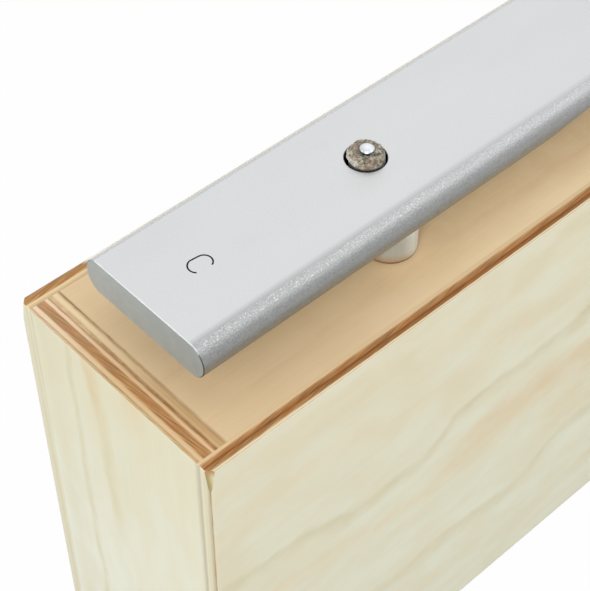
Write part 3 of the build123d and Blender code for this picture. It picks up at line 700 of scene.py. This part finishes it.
# Pins: turned and polished steel, bright, with the sheen uneven where fingers have rubbed it
pin = {"shaftRadius": 1.6, "point": 3.2, "headHeight": 1.8, "rim": 0.5, "rimRound": 0.18, "domeRings": 10,
       "segments": 72, "colour": "#E6EAF0", "shadeByFacing": "#6F7468", "wear": 1.4, "roughness": (0.34, 0.40)}
pinMaterial, tree, shader, place, xyz = newMaterial("polishedSteel", Metallic=1.0)
wear = mottle(tree, place, pin["wear"], detail=2.0)
rough = addNode(tree, "MapRange", wear, 0.3, 0.7, *pin["roughness"])
tree.links.new(rough.outputs[0], shader.inputs["Roughness"])
upward = addNode(tree, "SeparateXYZ", addNode(tree, "NewGeometry").outputs["Normal"])
shadeByFacing = addNode(tree, "MapRange", upward.outputs["Z"], 0.78, 0.5)  # painted shade round the head's rim
colour = addNode(tree, "Mix", shadeByFacing, pin["colour"], pin["shadeByFacing"], data_type="RGBA")
tree.links.new(colour.outputs[2], shader.inputs["Base Color"])
for endName in ("left", "right"):
    pinLow, pinHigh = millimetreBox("bar_pin_" + endName)
    foot, top = pinLow[2], pinHigh[2]
    headRadius = (pinHigh[0] - pinLow[0]) / 2
    headBottom = top - pin["headHeight"]
    domeHeight = top - (headBottom + pin["rim"])
    sphereRadius = (headRadius ** 2 + domeHeight ** 2) / (2 * domeHeight)
    spread = math.asin(headRadius / sphereRadius)
    profile = [(0, foot), (pin["shaftRadius"], foot + pin["point"]), (pin["shaftRadius"], headBottom),
               (headRadius - pin["rimRound"], headBottom), (headRadius, headBottom + pin["rimRound"])]
    for step in range(pin["domeRings"] + 1):  # the dome is part of a sphere
        angle = spread * (1 - step / pin["domeRings"])
        profile.append((sphereRadius * math.sin(angle), top - sphereRadius * (1 - math.cos(angle))))
    mesh = spinProfile(profile, pin["segments"], False)
    bmesh.ops.remove_doubles(mesh, verts=mesh.verts, dist=1e-4)
    bmesh.ops.recalc_face_normals(mesh, faces=mesh.faces)
    centre = Vector(((pinLow[0] + pinHigh[0]) / 2, (pinLow[1] + pinHigh[1]) / 2, 0))
    bmesh.ops.translate(mesh, verts=mesh.verts, vec=centre)
    bmesh.ops.scale(mesh, verts=mesh.verts, vec=(mm, mm, mm))
    domedPin = smoothObject("domedPin_" + endName, mesh, pinMaterial)
    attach(domedPin, "box")
    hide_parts("bar_pin_" + endName)
print("pins made")

# Buffers: moulded silicone rubber, off-white and slightly waxy, with faint upright streaks from the cutting
rest = {"colour": "#DCDCD3", "streakColour": "#CFCFC4", "streak": 1.3, "roughness": 0.42, "waxy": 0.15,
        "shadeByFacing": "#77766A", "bounceColour": "#A07A49", "glueAndShade": "#5E4122"}
bufferMaterial, tree, shader, place, xyz = newMaterial("siliconeRubber", Roughness=rest["roughness"],
                                                       Subsurface_Weight=rest["waxy"], Subsurface_Scale=0.002)
streaks = mottle(tree, place, rest["streak"], along="Z", stretch=9, detail=2.0)
streaks = addNode(tree, "MapRange", streaks, 0.32, 0.68)
colour = addNode(tree, "Mix", streaks, rest["streakColour"], rest["colour"], data_type="RGBA")
# painted shade darkens the half that faces the bar's end, painted bounce light from the plate warms its foot
# there, and a painted contact shadow makes a brown rim where it stands on the plate
facing = addNode(tree, "SeparateXYZ", addNode(tree, "NewGeometry").outputs["Normal"])
shadeByFacing = addNode(tree, "MapRange", facing, 0.5, -0.5, interpolation_type="SMOOTHSTEP")
colour = addNode(tree, "Mix", addNode(tree, "Math", shadeByFacing, 0.7, operation="MULTIPLY"), colour, rest["shadeByFacing"],
                 data_type="RGBA")
low = addNode(tree, "MapRange", xyz["Z"], plateHigh[2] + 5.5, plateHigh[2] + 0.8, 0.0, 0.75,
              interpolation_type="SMOOTHSTEP")
low = addNode(tree, "Math", low, addNode(tree, "MapRange", shadeByFacing, 0.0, 1.0, 0.25, 1.0), operation="MULTIPLY")
colour = addNode(tree, "Mix", low, colour, rest["bounceColour"], data_type="RGBA")
# painted contact shadow round the foot
rim = addNode(tree, "MapRange", xyz["Z"], plateHigh[2] + 1.7, plateHigh[2] + 0.9)
colour = addNode(tree, "Mix", rim, colour, rest["glueAndShade"], data_type="RGBA")
tree.links.new(colour.outputs[2], shader.inputs["Base Color"])
bump = addNode(tree, "Bump", named={"Height": streaks, "Strength": 0.4, "Distance": 0.05 * mm})
tree.links.new(bump.outputs[0], shader.inputs["Normal"])
dress(bufferMaterial, "buffer_rubber", *[n for n in nodes if n.startswith("rest_buffer")])

# Feet: moulded black rubber, matt with a fine texture and a little dust
feet = {"colour": "#1C1C1D", "dustColour": "#3A3936", "dust": 0.5, "grain": 0.5, "roughness": 0.75}
footMaterial, tree, shader, place, xyz = newMaterial("blackRubber", Roughness=feet["roughness"])
texture = mottle(tree, place, feet["grain"], detail=3.0, roughness=0.6)
dust = addNode(tree, "MapRange", mottle(tree, place, 5.0, detail=3.0), 0.5, 0.75, 0.0, feet["dust"])
colour = addNode(tree, "Mix", dust, feet["colour"], feet["dustColour"], data_type="RGBA")
tree.links.new(colour.outputs[2], shader.inputs["Base Color"])
bump = addNode(tree, "Bump", named={"Height": texture, "Strength": 0.7, "Distance": 0.06 * mm})
tree.links.new(bump.outputs[0], shader.inputs["Normal"])
dress(footMaterial, "foot_rubber", *[n for n in nodes if n.startswith("foot_") and n != "foot_screws"])

# Foot screws: zinc plated steel with a crossed driver recess in each head, drawn by a bump, with painted
# shade in the recess
screw = {"slotWide": 0.55, "slotLong": 1.7, "slotEase": 0.12, "slotDepth": 0.4, "colour": "#BFC2C3",
         "shadedRecess": "#4A4B4C", "roughness": 0.34}
footLow, footHigh = millimetreBox("foot_left_front")
screwMaterial, tree, shader, place, xyz = newMaterial("zincPlatedSteel", Metallic=1.0,
                                                      Roughness=screw["roughness"])
along = []
for number, axis in enumerate("XY"):  # how far a point is from the nearest screw's axis, each way
    off = addNode(tree, "Math", xyz[axis], operation="ABSOLUTE")
    off = addNode(tree, "Math", off, abs(footLow[number] + footHigh[number]) / 2, operation="SUBTRACT")
    along.append(addNode(tree, "Math", off, operation="ABSOLUTE"))
arms = []
for first, second in (along, along[::-1]):
    narrow = addNode(tree, "MapRange", first, screw["slotWide"], screw["slotWide"] - screw["slotEase"])
    short = addNode(tree, "MapRange", second, screw["slotLong"], screw["slotLong"] - screw["slotEase"])
    arms.append(addNode(tree, "Math", narrow, short, operation="MULTIPLY"))
# painted shade fills the recess
shadedRecess = addNode(tree, "Math", arms[0], arms[1], operation="MAXIMUM")
colour = addNode(tree, "Mix", shadedRecess, screw["colour"], screw["shadedRecess"], data_type="RGBA")
tree.links.new(colour.outputs[2], shader.inputs["Base Color"])
bump = addNode(tree, "Bump", named={"Height": shadedRecess, "Strength": 1.0, "Distance": -screw["slotDepth"] * mm})
tree.links.new(bump.outputs[0], shader.inputs["Normal"])
dress(screwMaterial, "screw_steel", "foot_screws")
print("small parts dressed")
